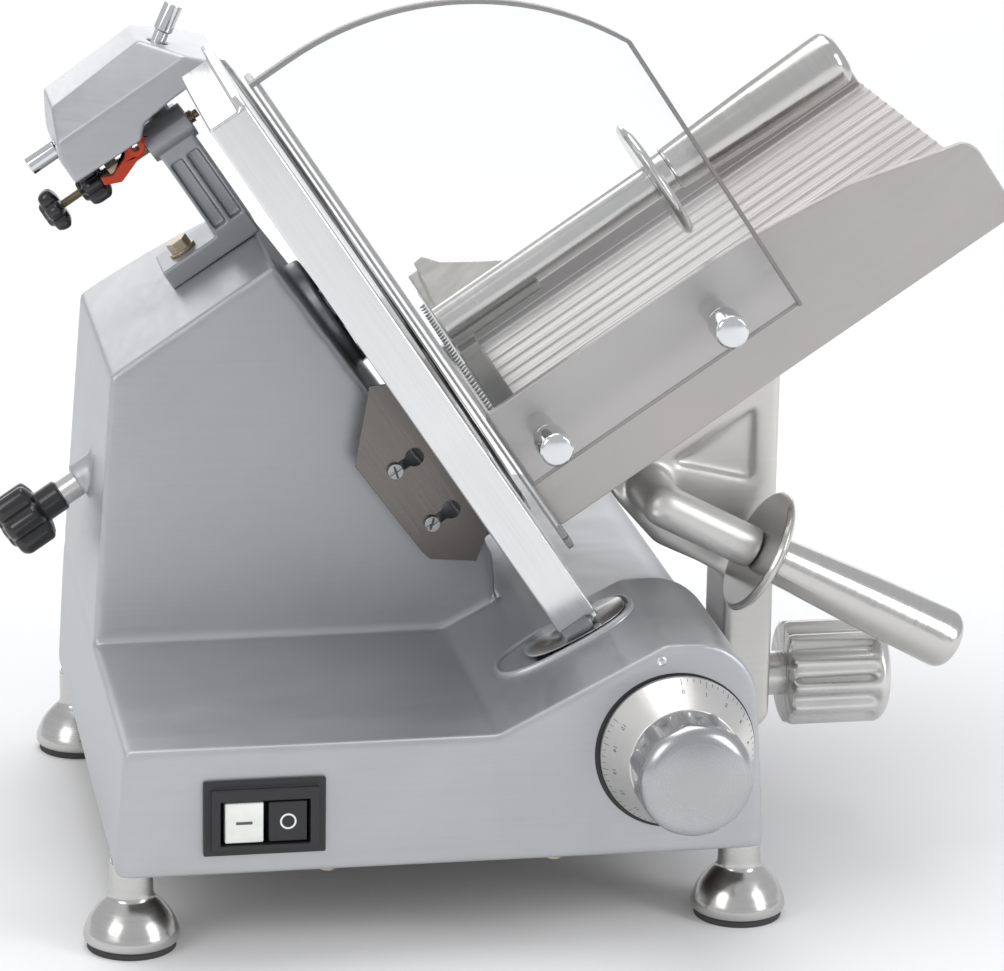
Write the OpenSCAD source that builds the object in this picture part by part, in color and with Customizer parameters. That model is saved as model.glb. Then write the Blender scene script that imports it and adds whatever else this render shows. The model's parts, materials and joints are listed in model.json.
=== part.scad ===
// Gravity-feed meat slicer: cast base, tilted blade, gauge plate, sliding carriage and sharpener.
// Base frame: X to the right, Y to the back, Z up. Tilted frame: x (n) along the blade's axis,
// y to the back, z (u) up the blade.

/* [Blade] */
// Tilt of the blade's axis above the horizontal, degrees
tilt = 34; // [33.8:0.1:34.2]
// Diameter of the cutting edge
blade_d = 300; // [298:1:300]
// Diameter of the plate that covers the blade's middle
blade_cover_d = 226; // [200:2:230]

/* [Base] */
// Depth of the base casting
base_depth = 370; // [368:1:374]
// Height of the base's lower rim above the floor
base_lift = 47.4; // [46:0.2:48]
// Wall thickness of the casting
wall = 5; // [4:0.5:5.5]
// Radius of the feet at the floor
foot_r = 25.4; // [22:0.2:26]

/* [Gauge] */
// Thickest slice
slice_max = 15; // [10:1:15]
// Turn of the thickness dial from closed to the thickest slice, degrees
dial_turn = 300; // [270:5:300]
// Radius of the graduated ring
dial_r = 41; // [38:0.5:42]

/* [Carriage] */
// Thickness of the tray's front wall
tray_wall = 5; // [4:0.5:6]
// Number of ribs on the tray's floor
tray_ribs = 17; // [9:1:19]
// Diameter of the pusher's tube
pusher_tube_d = 20; // [18:1:22]
// Thickness of the clear guard
guard_t = 4; // [3:0.5:4]

/* [Hidden] */
$fn = 72;

// Middle of the whole object's box, so that the origin lies under it
mid_x = 56.56337;
mid_y = 193.5;

// Running clearance of a shaft in its bore, and the gap between parts that pass each other
run = 0.05;
gap = 0.3;
// Overshoot of a cutting tool
eps = 1;

// Blade axis: height along the tilted u axis, place along Y, and plane of the cutting edge
axis_u = 249;
axis_y = 250;
edge_n = 165;
blade_r = blade_d / 2;
hub_n = 141;
hub_seat_n = 150;
screw_pcd = 77;

// Motor and belt drive
motor_u = 150;
motor_r = 52;
pulley_n0 = 76;
pulley_n1 = 94;
big_pulley_r = 46;
small_pulley_r = 12;
belt_t = 3;

// Base casting
shelf_z = 117.5;
ramp_x0 = 27.6;
ramp_x1 = 115.9;
hump_z = 162.7;
hump_r = 34;
hump_y = 118;
low_hump_z = 148;
low_hump_r = 26;
right_x = 165.5;
house_y = 173;
house_right_n = 131;
// The housing's right face leans: its n grows below house_face_u by house_lean per mm
house_face_top = 127.6;
house_face_u = 306.3;
house_lean = 0.0395;
function house_face_n(u) = house_face_top + (house_face_u - u) * house_lean;
boss_r = 34;
boss_n0 = 101;
boss_n1 = 138;
bearing_r = 23.5;
shaft_r = 12.5;
shaft_bore_r = 6.5;
tie_r = 5;

// Feet
foot_places = [[-160.5, 30], [165, 30], [-160.5, 336], [165, 336]];
stud_r = 3;
foot_boss_r = 12;
cover_screw_places = [[-60, 11], [60, 11], [-60, 359], [60, 359]];

// Switch on the front wall
switch_x = -94.5;
switch_z = 79.6;
button_w = 20;
button_h = 22;
button_x = [-105.4, -82.6];
button_z = 77.5;

// Thickness dial
dial_x = 122;
dial_z = 105.7;
dial_n = dial_x * cos(tilt) + dial_z * sin(tilt);
dial_u = dial_z * cos(tilt) - dial_x * sin(tilt);
dial_cone = 23;
dial_front = 57;
dial_knob_r = 30.5;
dial_shaft_r = 6;
cam_y0 = 20;
cam_y1 = 32;
cam_r = 34;
groove_r0 = 12;
pin_r = 4;
groove_half = 4.35;

// Gauge plate
gauge_face_n = 166;
gauge_t = 5;
gauge_y0 = 62;
gauge_rim = 23;
gauge_lo_u = 79;
gauge_hi_u = 424;
gauge_arc_r = 152.5;
gauge_arc_lo = 241;
gauge_arc_hi = 106;
rod_ys = [48, 76];
rod_u = 24;
rod_r = 5;
leg_y0 = 69;
leg_y1 = 90;

// Carriage
rail_x = 150;
rail_z = 66;
rail_r = 10;
bar_x = 100;
bar_z = 60;
bar_half = 7.5;
slider_y0 = 150;
slider_y1 = 200;
knob_z = 83.5;
knob_y = 175;
travel_front = 100;
travel_back = 120;
arm_x0 = 182;
arm_x1 = 210;
hollow = 5;
roller_r = 11;
roller_y = 201;

// Tray, in the tilted frame
tray_n0 = 175;
tray_n1 = 472;
tray_y0 = 97;
tray_y1 = 420;
floor_u = 132;
floor_t = 6;
rib_w = 5;
rib_h = 0.8;
wall_top_u = 197;
push_rod_y = 432;
push_rod_u = 118;
push_rod_r = 6;

// Hand guard
guard_y = 68.5;
guard_n = 172.5;
guard_posts = [[197, 176], [307, 175]];

// Lower handle: its axis lies in a plane across X and Z
handle_y = 112;
handle_tilt = 27.3;
handle_x = 137;
handle_z = 204;

// Pusher
push_y = 150;
push_u = 236;
push_n0 = 183;
push_t = 12;

// Sharpener, in the tilted frame
sharp_y0 = 232.5;
sharp_y1 = 317.5;
column_n0 = 108;
column_n1 = 130;
post_n = 119;
post_y = 288;
post_r = 8;
clamp_y = 266;
clamp_u = 381;
grind_n = 148;
grind_u = 430;
grind_tilt = 32.4;
deburr_u = 410;
stone_y = 262;

// Frames
module place() translate([-mid_x, -mid_y, 0]) children();
module tilted() place() rotate([0, -tilt, 0]) children();
// A flat shape in (x, z) made solid from y0 to y1
module along_y(y0, y1) translate([0, y1, 0]) rotate([90, 0, 0]) linear_extrude(y1 - y0) children();
// A flat shape in (y, z) made solid from x0 to x1
module along_x(x0, x1) translate([x0, 0, 0]) rotate([90, 0, 90]) linear_extrude(x1 - x0) children();
// Round bars and holes along x and along y
module bar_along_x(r, x0, x1) translate([x0, 0, 0]) rotate([0, 90, 0]) cylinder(r = r, h = x1 - x0);
module bar_along_y(r, y0, y1) translate([0, y1, 0]) rotate([90, 0, 0]) cylinder(r = r, h = y1 - y0);
// A profile of (radius, height) turned about x
module turned_x() rotate([90, 0, 90]) rotate_extrude($fn = 96) children();
// The same about the line towards the front, so height is measured towards the front
module turned_front() rotate([90, 0, 0]) rotate_extrude($fn = 96) children();
// Points of an arc about c
function arc(c, r, a0, a1, steps) = [for (i = [0:steps])
    let (a = a0 + (a1 - a0) * i / steps) [c[0] + r * cos(a), c[1] + r * sin(a)]];

// Base casting -----------------------------------------------------------------------------

// Section of the base's front part, moved in by t
function front_section(t) = concat(
    [[-171.4 + t, base_lift - (t > 0 ? eps : 0)], [-166.7 + t, shelf_z - t],
     [ramp_x0 + t * 0.25, shelf_z - t], [ramp_x1 + t * 0.25, hump_z - t]],
    arc([right_x - hump_r, hump_z - hump_r], hump_r - t, 84, 0, 8),
    [[171.9 - t, base_lift - (t > 0 ? eps : 0)]]);
// Section of the base behind the dial, where the hump is lower
function back_section(t) = concat(
    [[-171.4 + t, base_lift - (t > 0 ? eps : 0)], [-166.7 + t, shelf_z - t],
     [ramp_x0 + t * 0.25, shelf_z - t], [87.2 + t * 0.25, low_hump_z - t]],
    arc([right_x - low_hump_r, low_hump_z - low_hump_r], low_hump_r - t, 84, 0, 8),
    [[171.9 - t, base_lift - (t > 0 ? eps : 0)]]);
// Section of the motor housing
function house_section(t) = [[-165.8 + t, 100], [-165.8 + t, 125.6], [-154.8 + t, 266.3 - 0.6 * t],
    [-65.5 - 0.3 * t, 325.3 - 1.15 * t], [55.9 - 1.15 * t, 159.8 - 0.3 * t], [58.7 - t, 120],
    [58.7 - t, 100]];
// Side outline of the motor housing: its front leans back and its top is round at the back
function house_side(t) = concat([[house_y + t, 90], [house_y + 1 + t, shelf_z], [185 + t, 330 - t]],
    arc([base_depth - 70, 262], 70 - t, 90, 0, 8), [[base_depth - t, 90]]);
// Outline of the base from above, with rounded corners
function base_plan(t) = concat(
    arc([-172 + 8, 8], 8 - t, 180, 270, 4), arc([172 - 8, 8], 8 - t, 270, 360, 4),
    arc([172 - 25, base_depth - 25], 25 - t, 0, 90, 6),
    arc([-172 + 25, base_depth - 25], 25 - t, 90, 180, 6));

module base_solid(t) intersection() {
    union() {
        along_y(t, hump_y - t) polygon(front_section(t));
        along_y(hump_y - t - 2, base_depth - t) polygon(back_section(t));
        intersection() {
            along_y(house_y, base_depth - t) polygon(house_section(t));
            along_x(-180, 80) polygon(house_side(t));
        }
    }
    translate([0, 0, base_lift - 10]) linear_extrude(400) polygon(base_plan(t));
}

// Boss of the blade's bearings, boss of the knob's sleeve and webs of the gauge's guide rods
module inner_bosses() {
    for (p = foot_places) translate([p[0], p[1], base_lift + 2]) cylinder(r = foot_boss_r, h = 30);
    for (p = cover_screw_places) translate([p[0], p[1], base_lift + 2]) cylinder(r = 7, h = 22);
    translate([dial_x, 0, dial_z]) bar_along_y(12, 2, 16);
    rotate([0, -tilt, 0]) {
        for (w = [[70, 80, 14], [162, 172, 14]])
            translate([w[0], 40, w[2]]) cube([w[1] - w[0], 44, 90]);
        translate([0, axis_y, axis_u]) bar_along_x(boss_r, boss_n0, house_right_n);
    }
}
module base_holes() {
    for (p = foot_places) translate([p[0], p[1], base_lift - 5]) cylinder(r = stud_r + run, h = 33);
    for (p = cover_screw_places) translate([p[0], p[1], base_lift - 5]) cylinder(r = 2 + run, h = 25);
    // switch, dial shaft, cable gland
    along_y(-eps, wall + eps) translate([switch_x, switch_z]) square([55.4, 33.4], center = true);
    translate([dial_x, 0, dial_z]) bar_along_y(dial_shaft_r + run, -eps, 17);
    translate([-120, 0, 76]) bar_along_y(7 + run, base_depth - 10, base_depth + eps);
    // bores of the round rail in the foot bosses
    translate([rail_x, 0, rail_z]) bar_along_y(rail_r + run / 2, wall, base_depth - wall);
    // slot for the carriage in the right wall
    translate([150, slider_y0 + 9 - travel_front - 4, 62])
        cube([40, 32 + travel_front + travel_back + 8, 42]);
    rotate([0, -tilt, 0]) {
        // shaft, bearings, tie rod's sleeve
        translate([0, axis_y, axis_u]) bar_along_x(bearing_r + run, boss_n0 - eps, boss_n1 + eps);
        translate([0, axis_y, axis_u]) bar_along_x(7.5 + run, -60, 0);
        // slot for the gauge's leg and bores for its rods
        translate([144 - slice_max - 3, leg_y0 - 3, 45]) cube([14 + slice_max + 6, 27, 60]);
        for (y = rod_ys) translate([0, y, rod_u]) bar_along_x(rod_r + run / 2, 68, 173);
        // threaded holes of the sharpener's bolt and the ring guard's posts
        translate([88, 275, 285]) cylinder(r = 3 + run, h = 40);
    }
    // threaded holes of the deflector's studs
    rotate([0, -tilt, 0]) for (u = [178, 141]) translate([118, 0, u]) bar_along_y(2.5 + run, 160, 190);
}
module base_housing() color("lightsteelblue") place() difference() {
    union() {
        base_solid(0);
        rotate([0, -tilt, 0]) translate([0, axis_y, axis_u]) {
            bar_along_x(boss_r, house_right_n - 4, boss_n1);
            bar_along_x(11, -34, -18);
        }
        deflector_pads();
    }
    difference() {
        base_solid(wall);
        inner_bosses();
    }
    base_holes();
}
module deflector_pads() rotate([0, -tilt, 0])
    for (u = [178, 141]) translate([118, 0, u]) bar_along_y(5, 172, 182);

module base_cover() color("gray") place() difference() {
    translate([0, 0, base_lift]) linear_extrude(2) polygon(base_plan(7));
    for (p = foot_places) translate([p[0], p[1], base_lift - 5]) cylinder(r = stud_r + run, h = 33);
    for (p = cover_screw_places) translate([p[0], p[1], base_lift - 5]) cylinder(r = 2 + run, h = 25);
    for (y = [120:14:260]) translate([-100, y, base_lift - eps]) cube([60, 5, 4]);
}
module cover_screws() color("silver") place() for (p = cover_screw_places)
    translate([p[0], p[1], base_lift - 2.4]) {
        cylinder(r = 4.5, h = 2.4);
        cylinder(r = 2, h = 20);
    }
module feet() color("silver") place() for (p = foot_places) translate([p[0], p[1], 0]) {
    rotate_extrude() polygon(concat([[0, 3.2], [foot_r - 1.6, 3.2], [foot_r, 8]],
        arc([foot_r - 20, 8], 20, 12, 62, 5), [[11.4, 31], [11.4, base_lift], [0, base_lift]]));
    translate([0, 0, 10]) cylinder(r = stud_r, h = base_lift + 10);
}
module foot_pads() color("dimgray") place() for (p = foot_places) translate([p[0], p[1], 0])
    cylinder(r = foot_r - 2, h = 3.2);

// Switch -----------------------------------------------------------------------------------
module switch_bezel() color("black") place() difference() {
    union() {
        along_y(-2.5, 0) translate([switch_x, switch_z]) square([63.5, 40.7], center = true);
        along_y(-5.5, -2.5) translate([switch_x, switch_z]) square([56, 33], center = true);
    }
    along_y(-7, 1) translate([switch_x, switch_z - 2]) square([46.5, 24], center = true);
}
module switch_body() color("black") place() difference() {
    along_y(0, 34) translate([switch_x, switch_z]) square([55, 33], center = true);
    along_y(-eps, 14) translate([switch_x, switch_z - 2]) square([46.5, 24], center = true);
}
module push_button(x) {
    along_y(-4, 6) translate([x, button_z]) square([button_w, button_h], center = true);
    translate([x, 0, button_z]) bar_along_y(4, 6, 10);
}
module button_on() color("white") place() push_button(button_x[0]);
module button_off() color("black") place() push_button(button_x[1]);

// Thickness dial and gauge plate -----------------------------------------------------------
module at_dial() place() translate([dial_x, 0, dial_z]) children();
function groove_r(a) = groove_r0 + slice_max * a / dial_turn;

module dial_disc() color("silver") at_dial() difference() {
    turned_front() polygon([[dial_shaft_r + run, 1.2], [dial_r, 1.2], [dial_r, 4], [29.5, dial_cone],
        [dial_shaft_r + run, dial_cone]]);
    bar_along_y(dial_shaft_r + run, -30, 0);
}
module dial_knob() color("silver") at_dial() difference() {
    turned_front() polygon(concat([[dial_shaft_r + run, dial_cone], [dial_knob_r - 2, dial_cone],
        [dial_knob_r, dial_cone + 3], [dial_knob_r, dial_front - 9]],
        arc([dial_knob_r - 9, dial_front - 9], 9, 0, 70, 5), [[0, dial_front], [0, 45],
        [dial_shaft_r + run, 45]]));
    for (a = [0:30:330]) rotate([0, a, 0]) translate([dial_knob_r + 5, 0, 0])
        bar_along_y(7.5, -(dial_front - 12), -dial_cone + eps);
}
module dial_shaft() color("gray") at_dial() difference() {
    union() {
        bar_along_y(dial_shaft_r, -44.5, cam_y0 + 1);
        bar_along_y(cam_r, cam_y0, cam_y1);
    }
    rotate([0, -tilt, 0]) along_y(cam_y0 + 4, cam_y1 + eps) polygon(concat(
        [for (a = [-26:6:dial_turn + 14]) (groove_r(a) + groove_half) * [cos(180 - a), sin(180 - a)]],
        [for (a = [dial_turn + 14:-6:-26])
            (groove_r(a) - groove_half) * [cos(180 - a), sin(180 - a)]]));
}
module gauge_plate() color("silver") tilted() {
    top = arc([axis_y, axis_u], gauge_arc_r, gauge_arc_hi, gauge_arc_lo, 28);
    along_x(gauge_face_n - gauge_t, gauge_face_n) polygon(concat(
        [[150, gauge_lo_u], [gauge_y0 + 6, gauge_lo_u], [gauge_y0, gauge_lo_u + 6],
         [gauge_y0, gauge_hi_u - 6], [gauge_y0 + 6, gauge_hi_u], [205, gauge_hi_u]], top));
    // turned-back front rim and the rim along the top
    along_y(gauge_y0, gauge_y0 + 6) translate([gauge_face_n - gauge_rim, gauge_lo_u + 6])
        square([gauge_rim - gauge_t, gauge_hi_u - gauge_lo_u - 12]);
    translate([gauge_face_n - gauge_rim, gauge_y0 + 6, gauge_hi_u - 12])
        cube([gauge_rim - gauge_t, 130, 6]);
}
module gauge_support() color("gray") tilted() {
    difference() {
        translate([112, 34, 8]) cube([46, 54, 32]);
        for (y = rod_ys) translate([0, y, rod_u]) bar_along_x(rod_r + run, 110, 160);
    }
    translate([144, leg_y0, 38]) cube([14, leg_y1 - leg_y0, 40]);
    translate([144, leg_y0, 76]) cube([gauge_face_n - gauge_t - 144, leg_y1 - leg_y0, 24]);
    translate([dial_n - groove_r0, 0, dial_u]) bar_along_y(pin_r, cam_y1 - 6, 36);
}
module gauge_rods() color("silver") tilted() for (y = rod_ys)
    translate([0, y, rod_u]) bar_along_x(rod_r, 69, 172.5);

// Blade drive ------------------------------------------------------------------------------
module on_axis() tilted() translate([0, axis_y, axis_u]) children();

module blade() color("silver") on_axis() difference() {
    turned_x() polygon([[28.5, hub_seat_n], [104, hub_seat_n],
    [118, 154], [blade_r - 8, 160], [blade_r, edge_n - 0.4], [blade_r, edge_n], [128, edge_n - 0.2],
        [118, 158.5], [104, hub_seat_n + 3.5], [28.5, hub_seat_n + 3.5]]);
    for (a = [45:90:315]) rotate([a, 0, 0]) translate([0, screw_pcd / 2, 0])
        bar_along_x(3 + run / 2, hub_seat_n - eps, hub_seat_n + 5);
}
module blade_screws() color("dimgray") on_axis() for (a = [45:90:315]) rotate([a, 0, 0])
    translate([0, screw_pcd / 2, 0]) {
        bar_along_x(3, hub_n + 1, hub_seat_n + 3.6);
        bar_along_x(5.5, hub_seat_n + 3.6, hub_seat_n + 5.6);
    }
module blade_hub() color("gray") on_axis() difference() {
    union() {
        bar_along_x(shaft_r, 72, hub_n + 1);
        bar_along_x(46, hub_n, hub_seat_n);
        bar_along_x(28.4, hub_seat_n - 1, hub_seat_n + 3);
    }
    bar_along_x(shaft_bore_r, 70, 160);
    for (a = [45:90:315]) rotate([a, 0, 0]) translate([0, screw_pcd / 2, 0])
        bar_along_x(3 + run / 2, hub_n - eps, hub_seat_n + eps);
}
module blade_bearings() color("silver") on_axis() for (n = [boss_n0 + 2, boss_n1 - 14])
    difference() {
        bar_along_x(bearing_r, n, n + 12);
        bar_along_x(shaft_r + run, n - eps, n + 13);
    }
// Grooved pulley of radius r with bore b
module pulley(r, b) difference() {
    turned_x() polygon(concat([[b, pulley_n0], [r, pulley_n0]],
        [for (i = [0:5], e = [0, 1]) [r - (e == 0 ? 0 : 1.5), pulley_n0 + 3 + i * 2.4 + e * 1.2]],
        [[r, pulley_n1], [b, pulley_n1]]));
    if (r > 30) for (a = [0:60:300]) rotate([a, 0, 0]) translate([0, 29, 0])
        bar_along_x(7, pulley_n0 - eps, pulley_n1 + eps);
}
module blade_pulley() color("gray") on_axis() pulley(big_pulley_r, shaft_r + run / 2);
module on_motor() tilted() translate([0, axis_y, motor_u]) children();
module motor_pulley() color("gray") on_motor() pulley(small_pulley_r, 5 + run / 2);
module motor_body() color("dimgray") on_motor() difference() {
    union() {
        bar_along_x(motor_r, -30, 56);
        bar_along_x(motor_r - 6, -42, 66);
        translate([-20, -20, -motor_r - 6]) cube([60, 40, 20]);
    }
    bar_along_x(motor_r - 12, -38, 52);
    bar_along_x(7 + run, 40, 70);
}
module motor_rotor() color("silver") on_motor() {
    bar_along_x(7, 30, 72);
    bar_along_x(5, 72, 97);
    bar_along_x(32, -10, 40);
    // cooling fan
    for (a = [0:40:320]) rotate([a, 0, 0]) translate([-24, -1.5, 8]) cube([14.5, 3, 26]);
    bar_along_x(10, -24, -9);
}
module motor_bracket() color("slategray") tilted() difference() {
    translate([66.3, 185, 92]) cube([6, base_depth - wall - 185, 116]);
    translate([0, axis_y, motor_u]) bar_along_x(19, 60, 80);
    for (s = [-1, 1]) translate([0, axis_y + s * 70, motor_u]) bar_along_x(12, 60, 80);
}
// Closed loop round both pulleys: its outline touches circles of radii r1 and r0
function belt_line(r1, r0) = let (d = axis_u - motor_u, s = asin((r1 - r0) / d)) concat(
    arc([0, axis_u - motor_u], r1, -s, 180 + s, 32), arc([0, 0], r0, 180 + s, 360 - s, 14));
module drive_belt() color("black") on_motor() difference() {
    along_x(pulley_n0 + 1.5, pulley_n1 - 1.5)
        polygon(belt_line(big_pulley_r + gap + belt_t, small_pulley_r + gap + belt_t));
    along_x(pulley_n0, pulley_n1) polygon(belt_line(big_pulley_r + gap, small_pulley_r + gap));
}
module capacitor() color("white") place() translate([0, 110, 76]) bar_along_x(17, -140, -72);

module blade_cover() color("silver") on_axis() difference() {
    turned_x() polygon([[0, 156], [13, 156], [13, 160], [blade_cover_d / 2 - 3, 160.6],
        [blade_cover_d / 2, 161.4], [blade_cover_d / 2, 163], [blade_cover_d / 2 - 4, 165],
        [0, 165]]);
    bar_along_x(tie_r + run, 150, 162.5);
}
module cover_tie_rod() color("silver") on_axis() bar_along_x(tie_r, -47, 162);
module cover_sleeve() color("silver") on_axis() difference() {
    bar_along_x(7.5, -44.5, -8);
    bar_along_x(tie_r + run, -50, 0);
}
module cover_knob() color("black") on_axis() difference() {
    union() {
        bar_along_x(9, -58, -45);
        bar_along_x(14, -80, -58);
        along_x(-78, -57) for (a = [0:60:300]) rotate(a) translate([13.5, 0]) circle(r = 6.8);
        bar_along_x(11, -84, -78);
    }
    bar_along_x(tie_r + run, -60, -40);
}

// Guard round the back of the blade
module ring_guard() color("silver") on_axis() {
    rotate([90, 0, 90]) rotate([0, 0, -116]) rotate_extrude(angle = 116 + 58, $fn = 96) polygon([
        [blade_r + 2, 142], [blade_r + 8, 142], [blade_r + 8, 165], [blade_r + 6, 167],
        [blade_r - 3, 168], [blade_r - 3, 166.4], [blade_r + 2, 165.5]]);
    for (a = [-113, -66, -30]) rotate([a, 0, 0]) {
        inner = a == -30 ? 122 : 140;
        translate([140, inner, -8]) cube([4, blade_r + 4 - inner, 16]);
        translate([0, inner + 8, 0])
            bar_along_x(6, house_face_n(axis_u + (inner + 8) * sin(a)) + 0.25, 141);
    }
}

// Slice deflector --------------------------------------------------------------------------
module slice_deflector() color("lightgray") tilted() difference() {
    along_y(164, 165.2) polygon([[133, 226], [142, 221], [144.5, 162], [144, 121], [126, 108],
        [106, 124], [104.5, 130], [101.4, 193]]);
    for (u = [178, 141]) {
        translate([118, 0, u]) bar_along_y(2.8, 160, 170);
        translate([118, 160, u - 2.8]) cube([13, 10, 5.6]);
        translate([131, 0, u]) bar_along_y(5.2, 160, 170);
    }
}
module deflector_studs() color("silver") tilted() for (u = [178, 141]) translate([118, 0, u])
    difference() {
        union() {
            bar_along_y(4.4, 161.2, 163.7);
            bar_along_y(2.5, 161.2, 188);
            bar_along_y(4.6, 165.6, 172);
        }
        translate([-5, 161, -0.6]) cube([10, 1.2, 1.2]);
    }

// Sharpener --------------------------------------------------------------------------------
module sharpener_bracket() color("slategray") tilted() difference() {
    union() {
        translate([72, 258, 306.9]) cube([58, 40, 11.5]);
        difference() {
            translate([column_n0, 258, 318]) cube([column_n1 - column_n0, 40, 68]);
            for (n = [110, 120.5]) translate([n, 250, 322]) cube([7.5, 14, 44]);
        }
        translate([0, clamp_y, clamp_u]) bar_along_x(10.5, 105, 133);
    }
    translate([0, clamp_y, clamp_u]) bar_along_x(4 + run, 100, 140);
    translate([post_n, post_y, 342]) cylinder(r = post_r + run, h = 50);
    translate([88, 275, 300]) cylinder(r = 3 + run, h = 25);
}
module sharpener_fasteners() color("darkkhaki") tilted() {
    translate([88, 275, 0]) {
        translate([0, 0, 301]) cylinder(r = 3, h = 20);
        translate([0, 0, 318.4]) cylinder(r = 8, h = 2);
        translate([0, 0, 320.4]) cylinder(r = 6.6, h = 5.5, $fn = 6);
    }
    translate([0, clamp_y, clamp_u]) difference() {
        translate([80, 0, 0]) rotate([0, 90, 0]) cylinder(r = 7.4, h = 7, $fn = 6);
        bar_along_x(4 + run, 70, 100);
    }
}
// Black knob with lobes
module star_knob(n0, n1, r) {
    bar_along_x(r * 0.68, n0, n1);
    along_x(n0 + 2, n1 - 2) for (a = [0:60:300]) rotate(a) translate([r * 0.7, 0]) circle(r = r * 0.3);
    bar_along_x(r * 0.45, n1, n1 + 3);
}
module at_clamp() tilted() translate([0, clamp_y, clamp_u]) children();
module clamp_knob() color("black") at_clamp() difference() {
    union() {
        star_knob(60, 74, 12.4);
        bar_along_x(4, 75, 136);
    }
    bar_along_x(2.5 + run, 50, 140);
}
module adjust_knob() color("black") at_clamp() {
    star_knob(36, 49, 13);
    bar_along_x(2.5, 50, 139);
}
function cover_section(t) = [[63 + t, 394 - (t > 0 ? eps * 2 : 0)], [63 + t, 410 - t * 0.3],
    [75 + t * 0.4, 433 - t], [135 - t * 0.2, 436 - t], [166 - t * 1.4, 403], [132, 402 - (t > 0 ? 2 : 0)],
    [113, 400 - (t > 0 ? 2 : 0)], [106, 393 - (t > 0 ? 2 : 0)]];
function cover_depth(t) = [[sharp_y0 + t, 380], [sharp_y0 + t, 418], [sharp_y0 + 20 + t * 0.4, 437 - t],
    [sharp_y1 - 20 - t * 0.4, 437 - t], [sharp_y1 - t, 418], [sharp_y1 - t, 380]];
module cover_solid(t) intersection() {
    along_y(sharp_y0 + t, sharp_y1 - t) polygon(cover_section(t));
    along_x(50, 180) polygon(cover_depth(t));
}
module at_grind() tilted() translate([grind_n, stone_y, grind_u]) rotate([0, -grind_tilt, 0]) children();
module at_deburr() tilted() translate([0, stone_y, deburr_u]) children();
module sharpener_cover() color("silver") difference() {
    tilted() difference() {
        cover_solid(0);
        cover_solid(2.5);
        // way in for the bracket's column
        translate([104, 255, 380]) cube([30, 46, 24]);
    }
    at_grind() bar_along_x(5.6, -12, 30);
    at_deburr() bar_along_x(5.6, 50, 80);
}
module sharpener_frame() color("gray") difference() {
    tilted() {
        translate([post_n, post_y, 344]) cylinder(r = post_r, h = 68);
        // cheeks and cross bar that carry the spindles
        translate([84, 250, 406]) cube([9, 46, 9]);
        translate([92, 278, 406]) cube([38, 18, 7]);
        translate([129, 250, 403.5]) cube([7, 46, 23.5]);
    }
    at_grind() bar_along_x(4 + run, -40, 0);
    at_deburr() bar_along_x(4 + run, 70, 100);
}
module stone(n0, n1, r, bore) difference() {
    bar_along_x(r, n0, n1);
    bar_along_x(bore, n0 - eps, n1 + eps);
}
module grinding_button() color("silver") at_grind() {
    bar_along_x(5.3, 1, 17);
    bar_along_x(4, -36.5, 2);
}
module grinding_stone() color("tan") at_grind() stone(-36, -30.5, 9.5, 4 + run);
module deburring_button() color("silver") at_deburr() {
    bar_along_x(5.3, 46, 64);
    bar_along_x(4, 64, 99);
}
module deburring_stone() color("tan") at_deburr() stone(93.3, 98.5, 9, 4 + run);
module lock_lever() color("orangered") tilted() difference() {
    union() {
        along_y(238, 243) polygon([[103, 386], [108, 393], [100, 397], [92, 389], [82, 385], [76, 388],
            [75, 383], [84, 379]]);
        translate([101, 0, 391]) bar_along_y(5, 236, 245);
    }
    translate([101, 0, 391]) bar_along_y(2, 230, 250);
}

// Carriage ---------------------------------------------------------------------------------
module carriage_rails() color("silver") place() {
    translate([rail_x, 0, rail_z]) bar_along_y(rail_r, wall, base_depth - wall);
    along_y(wall, base_depth - wall) translate([bar_x, bar_z]) square(2 * bar_half, center = true);
}
module carriage_slider() color("gray") place() difference() {
    union() {
        translate([134, slider_y0, 53]) cube([28, slider_y1 - slider_y0, 44]);
        translate([0, knob_y, knob_z]) bar_along_x(13.5, 160, arm_x0);
        translate([106.5, 190, 72]) cube([28, 22, 14]);
        translate([0, roller_y, bar_z + bar_half + roller_r + gap]) bar_along_x(3, 94, 108);
    }
    translate([rail_x, 0, rail_z]) bar_along_y(rail_r + run, 0, 300);
    translate([0, knob_y, knob_z]) bar_along_x(6 + run, 148, 190);
}
module carriage_roller() color("dimgray") place()
    translate([0, roller_y, bar_z + bar_half + roller_r + gap]) difference() {
        bar_along_x(roller_r, 95.5, 104.5);
        bar_along_x(3 + run, 90, 110);
    }
module carriage_arm() color("silver") {
    place() difference() {
        along_y(slider_y0, slider_y1) polygon(concat([[arm_x0, 58], [arm_x0, 149], [167, 158], [142, 170],
            [120, 195], [113, 206], [110, 213], [110, 222.9], [arm_x1, 290.3], [arm_x1, 66]],
            arc([arm_x1 - 12, 70], 12, 0, -90, 4)));
        translate([0, knob_y, knob_z]) bar_along_x(6 + run, 180, 215);
        // three-sided hollow in the arm's front face
        along_y(slider_y0 - eps, slider_y0 + hollow) polygon([[150, 216], [196, 246], [196, 205]]);
    }
    // curved root of the lower handle
    place() translate([handle_x, 0, handle_z]) {
        bar_along_y(12, handle_y, slider_y0);
        translate([0, handle_y, 0]) sphere(r = 12);
        translate([0, handle_y, 0]) rotate([0, handle_tilt, 0]) bar_along_x(12, 0, 58);
    }
}
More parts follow.
